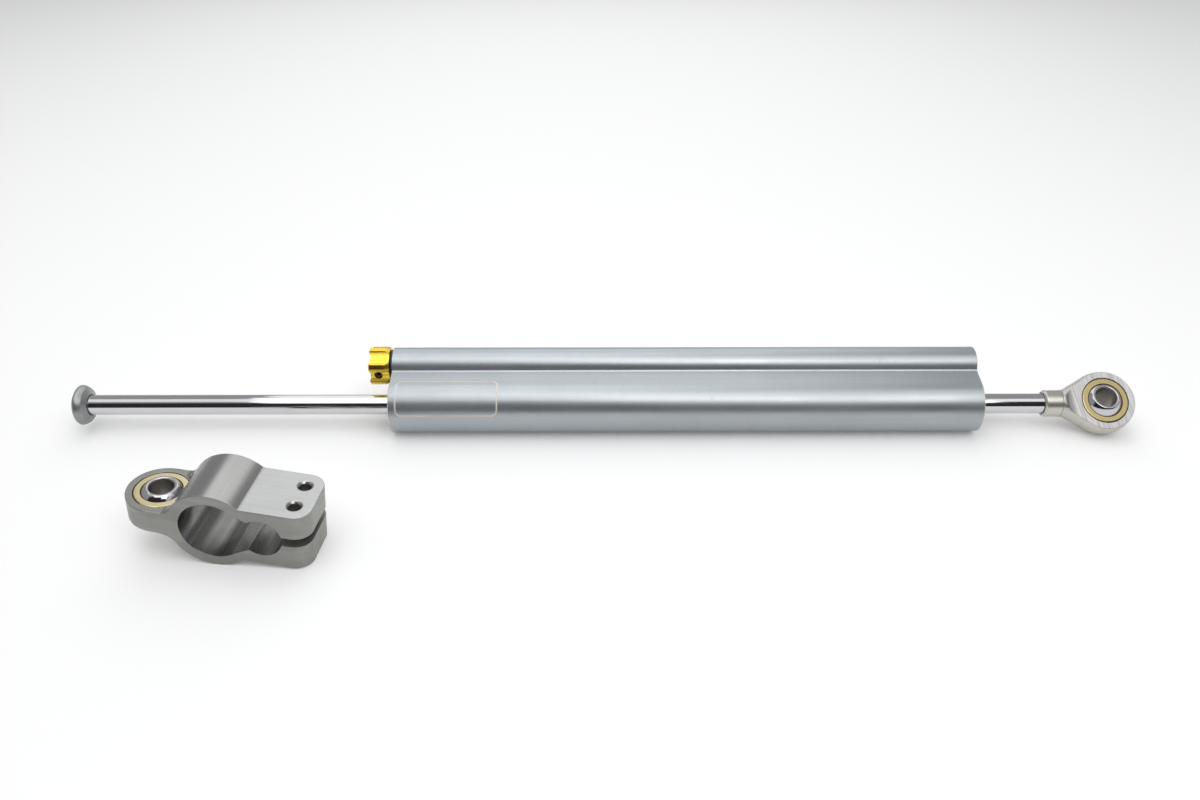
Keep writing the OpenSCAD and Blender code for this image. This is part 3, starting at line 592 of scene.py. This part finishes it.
SECOND_FINISHES = {
    "housing": [("engraved_line", in_engraving)],
    "clamp_body": [("clamp_milled_and_shaded", in_tapped_hole), ("clamp_bore_shade", in_clamp_hole),
                   ("clamp_slit", in_clamp_slit), ("clamp_milled_and_shaded", on_clamp_side),
                   ("clamp_ear_lit_top", on_clamp_ear)],
    "rod_eye": [("eye_run_out_shade", on_run_out), ("eye_face", on_eye_face)],
    "eye_race": [("race_gap_shadow", on_race_rim)],
    "clamp_race": [("race_gap_shadow", on_race_rim)],
    "eye_ball": [("ball_bore", in_eye_bore)],
    "clamp_ball": [("ball_bore", in_clamp_bore)],
}


# Edges that stay crisp

end_rim_reach = 1 * MM
lug_face_r = 12.5 * MM


def between_ends(rim):
    """The edges of the housing's engraved line, which are all those away from its ends."""
    return all(abs(vert.co.x) < housing_end - end_rim_reach for vert in rim.verts)


def by_the_lug_face(rim):
    """The edges round the clamp's race, where the lug's face runs out into the ring."""
    return any(off_axis(vert.co, clamp_eye_centre, clamp_up) < lug_face_r
               and (vert.co - clamp_eye_centre).dot(clamp_across) > 0 for vert in rim.verts)


CRISP_RIMS = {"housing": between_ends, "clamp_body": by_the_lug_face}


# Pieces

weld_reach = 0.002 * MM
flat_limit = math.radians(0.4)
sharp_limit = math.radians(24)
shading_limit = math.radians(50)
bevel_steps = 2
bevel_profile = 0.5
EDGE_RADIUS_MM = {
    "housing": 0.3, "rod_eye": 0.15, "clamp_body": 0.25, "adjuster_knob": 0.08, "end_button": 0.15,
    "piston_rod": 0.1, "eye_race": 0.35, "clamp_race": 0.35, "eye_ball": 0.16, "clamp_ball": 0.16,
    "knob_washer": 0.1, "knob_grub_screw": 0.08, "left_rod_guide": 0.1, "right_rod_guide": 0.1,
    "left_wiper": 0.05, "right_wiper": 0.05, "guide_circlips": 0.06, "channel_plug": 0.1,
    "adjuster_gland": 0.08,
}


def open_tapped_holes(work):
    """Widens the clamp's tapped holes to the thread's full diameter, so that its ridge stands in them."""
    past_the_end = 1.1 * thread_reach
    wall_slack = 0.05 * MM
    for mouth in thread_mouths.values():
        for vert in work.verts:
            run = (vert.co - mouth).dot(clamp_up)
            outward = vert.co - mouth - clamp_up * run
            if abs(run) < past_the_end and abs(outward.length - thread_minor) < wall_slack:
                vert.co += outward.normalized() * (thread_major - thread_minor)


def round_edges(work, node, radius):
    """Rounds a mesh's sharp edges, apart from those that stay crisp."""
    stays_crisp = CRISP_RIMS.get(node)
    sharp = []
    for rim in work.edges:
        if rim.is_manifold and rim.calc_face_angle() > sharp_limit:
            if not (stays_crisp and stays_crisp(rim)):
                sharp.append(rim)
    bmesh.ops.bevel(work, geom=sharp, offset=radius, offset_type="OFFSET", segments=bevel_steps,
                    profile=bevel_profile, affect="EDGES", clamp_overlap=False)
    work.normal_update()


def rounded_copy(node, radius):
    """Stands a copy in for a CAD node: flats joined up, edges rounded, curves smooth, finishes put on."""
    seconds = SECOND_FINISHES.get(node, [])
    work = bmesh.new()
    work.from_mesh(nodes[node].data)
    bmesh.ops.remove_doubles(work, verts=work.verts, dist=weld_reach)
    bmesh.ops.dissolve_limit(work, angle_limit=flat_limit, verts=work.verts, edges=work.edges)
    if node == "clamp_body":
        open_tapped_holes(work)
    round_edges(work, node, radius)
    for face in work.faces:
        face.smooth = True
        middle = face.calc_center_median()
        fits = [test(middle, face.normal) for _, test in seconds]
        face.material_index = fits.index(True) + 1 if True in fits else 0
    for rim in work.edges:
        rim.smooth = not rim.is_manifold or rim.calc_face_angle() < shading_limit
    mesh = bpy.data.meshes.new(node + "_mesh")
    work.to_mesh(mesh)
    work.free()
    piece = bpy.data.objects.new(node + "_finished", mesh)
    bpy.context.scene.collection.objects.link(piece)
    piece.modifiers.new("even_normals", "WEIGHTED_NORMAL").keep_sharp = True
    mesh.materials.append(finish_of(node))
    for name, _ in seconds:
        mesh.materials.append(finishes[name])
    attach(piece, body_of[node])
    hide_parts(node)


def thread_ridge(name, mouth):
    """The ridge of a right-handed thread, wound down a tapped hole from its mouth."""
    steps = 24
    profile = ((thread_major, foot_half_share), (thread_minor, crest_half_share),
               (thread_minor, -crest_half_share), (thread_major, -foot_half_share))
    corners = len(profile)
    turns = thread_reach / thread_pitch
    aside = clamp_up.orthogonal().normalized()
    ahead = clamp_up.cross(aside)
    points = []
    faces = []
    for step in range(int(turns * steps) + 1):
        angle = 2 * math.pi * step / steps
        outward = aside * math.cos(angle) + ahead * math.sin(angle)
        drop = thread_pitch * (step / steps + start_share)
        for radius, rise in profile:
            points.append(mouth + outward * radius + clamp_up * (rise * thread_pitch - drop))
        here = corners * step
        before = here - corners
        if step:
            for side in range(corners):
                after = (side + 1) % corners
                faces.append((here + side, here + after, before + after, before + side))
    faces.append(tuple(range(corners)))
    faces.append(tuple(reversed(range(here, here + corners))))
    mesh = bpy.data.meshes.new(name)
    mesh.from_pydata(points, [], faces)
    # The pale finish is a painted highlight on the ridge.
    mesh.materials.append(finishes["thread_flank_highlight"])
    piece = bpy.data.objects.new(name, mesh)
    bpy.context.scene.collection.objects.link(piece)
    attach(piece, body_of["clamp_body"])


for node, edge_radius in EDGE_RADIUS_MM.items():
    rounded_copy(node, edge_radius * MM)
for mount_name, mouth in thread_mouths.items():
    thread_ridge(mount_name + "_ridge", mouth)
for node, piece in nodes.items():
    if node not in EDGE_RADIUS_MM:
        piece.data.materials.clear()
        piece.data.materials.append(finish_of(node))


# Bench, light and camera

bench_reach = 4.0
bench_lift = 0.14
flag_y = -1.3
flag_half = 2.2
flag_top = 1.6


def flat_sheet(name, corners, material):
    """A stage sheet with four corners."""
    mesh = bpy.data.meshes.new(name)
    mesh.from_pydata(corners, [], [(0, 1, 2, 3)])
    mesh.materials.append(material)
    piece = bpy.data.objects.new(name, mesh)
    bpy.context.scene.collection.objects.link(piece)
    return piece


def bench_material():
    """White bench that keeps shadows, and lifts towards white for the camera and in reflections."""
    made = bpy.data.materials.new("bench_white")
    made.use_nodes = True
    tree = made.node_tree
    shader = tree.nodes["Principled BSDF"]
    seen = add(tree, "ShaderNodeLightPath").outputs
    camera_or_gloss = calc(tree, "MAXIMUM", seen["Is Camera Ray"], seen["Is Glossy Ray"])
    shown = calc(tree, "MAXIMUM", camera_or_gloss, seen["Is Transmission Ray"])
    shader.inputs["Base Color"].default_value = (0.86, 0.86, 0.86, 1.0)
    shader.inputs["Roughness"].default_value = 0.9
    shader.inputs["Specular IOR Level"].default_value = 0.0
    shader.inputs["Emission Color"].default_value = (1.0, 1.0, 1.0, 1.0)
    plug(tree, calc(tree, "MULTIPLY", shown, bench_lift), shader.inputs["Emission Strength"])
    return made


def flag_material():
    """Black felt of the flag that stands behind the camera."""
    made = bpy.data.materials.new("flag_felt")
    made.use_nodes = True
    shader = made.node_tree.nodes["Principled BSDF"]
    shader.inputs["Base Color"].default_value = (0.06, 0.058, 0.055, 1.0)
    shader.inputs["Roughness"].default_value = 1.0
    return made


def softbox(name, angle_from, angle_to, distance, x_from, x_to, radiance):
    """A soft lamp along X, between two angles in degrees up from the viewer's horizon."""
    middle = math.radians((angle_from + angle_to) / 2)
    spread = math.radians((angle_to - angle_from) / 2)
    lamp = bpy.data.lights.new(name, "AREA")
    lamp.shape = "RECTANGLE"
    lamp.size = x_to - x_from
    lamp.size_y = 2 * distance * math.tan(spread)
    lamp.energy = radiance * math.pi * lamp.size * lamp.size_y
    holder = bpy.data.objects.new(name, lamp)
    bpy.context.scene.collection.objects.link(holder)
    holder.location = ((x_from + x_to) / 2, -distance * math.cos(middle), distance * math.sin(middle))
    holder.rotation_euler = (math.pi / 2 - middle, 0, 0)


bench_corners = [(-bench_reach, -bench_reach, bench_z), (bench_reach, -bench_reach, bench_z),
                 (bench_reach, bench_reach, bench_z), (-bench_reach, bench_reach, bench_z)]
flat_sheet("bench", bench_corners, bench_material())
flag_corners = [(-flag_half, flag_y, bench_z), (flag_half, flag_y, bench_z),
                (flag_half, flag_y, flag_top), (-flag_half, flag_y, flag_top)]
flag = flat_sheet("flag", flag_corners, flag_material())
flag.visible_camera = False

# Each softbox: lower and upper angle, distance, left and right end, radiance.
softbox("main_softbox", 46, 90, 0.8, -0.45, 0.43, 1.3)
softbox("key_softbox", 39, 65, 0.8, 0.0, 0.44, 2.0)
softbox("left_softbox", 68, 108, 0.8, -0.45, 0.0, 0.7)
softbox("top_softbox", 96, 120, 0.8, -0.45, 0.25, 1.1)
softbox("rear_softbox", 120, 162, 0.85, -0.45, 0.35, 0.9)
softbox("far_left_softbox", 67, 100, 0.8, -1.0, -0.45, 0.7)
softbox("far_right_softbox", 56, 88, 0.8, 0.43, 1.0, 0.8)

room_grey = (0.40, 0.405, 0.41, 1.0)
world = bpy.data.worlds.new("studio")
bpy.context.scene.world = world
world.use_nodes = True
world.node_tree.nodes["Background"].inputs["Color"].default_value = room_grey

camera_at = Vector((-0.0336, -0.3307, 0.2250))
camera_tip = math.radians(56)
camera_roll = math.radians(-0.09)
camera = bpy.data.objects.new("camera", bpy.data.cameras.new("camera"))
bpy.context.scene.collection.objects.link(camera)
camera.data.lens = 30
camera.data.sensor_width = 36
camera.data.clip_start = 0.01
camera.matrix_world = (Matrix.Translation(camera_at) @ Matrix.Rotation(camera_tip, 4, "X")
                       @ Matrix.Rotation(camera_roll, 4, "Z"))
bpy.context.scene.camera = camera
bpy.context.scene.view_settings.view_transform = "Standard"

bpy.context.view_layer.update()
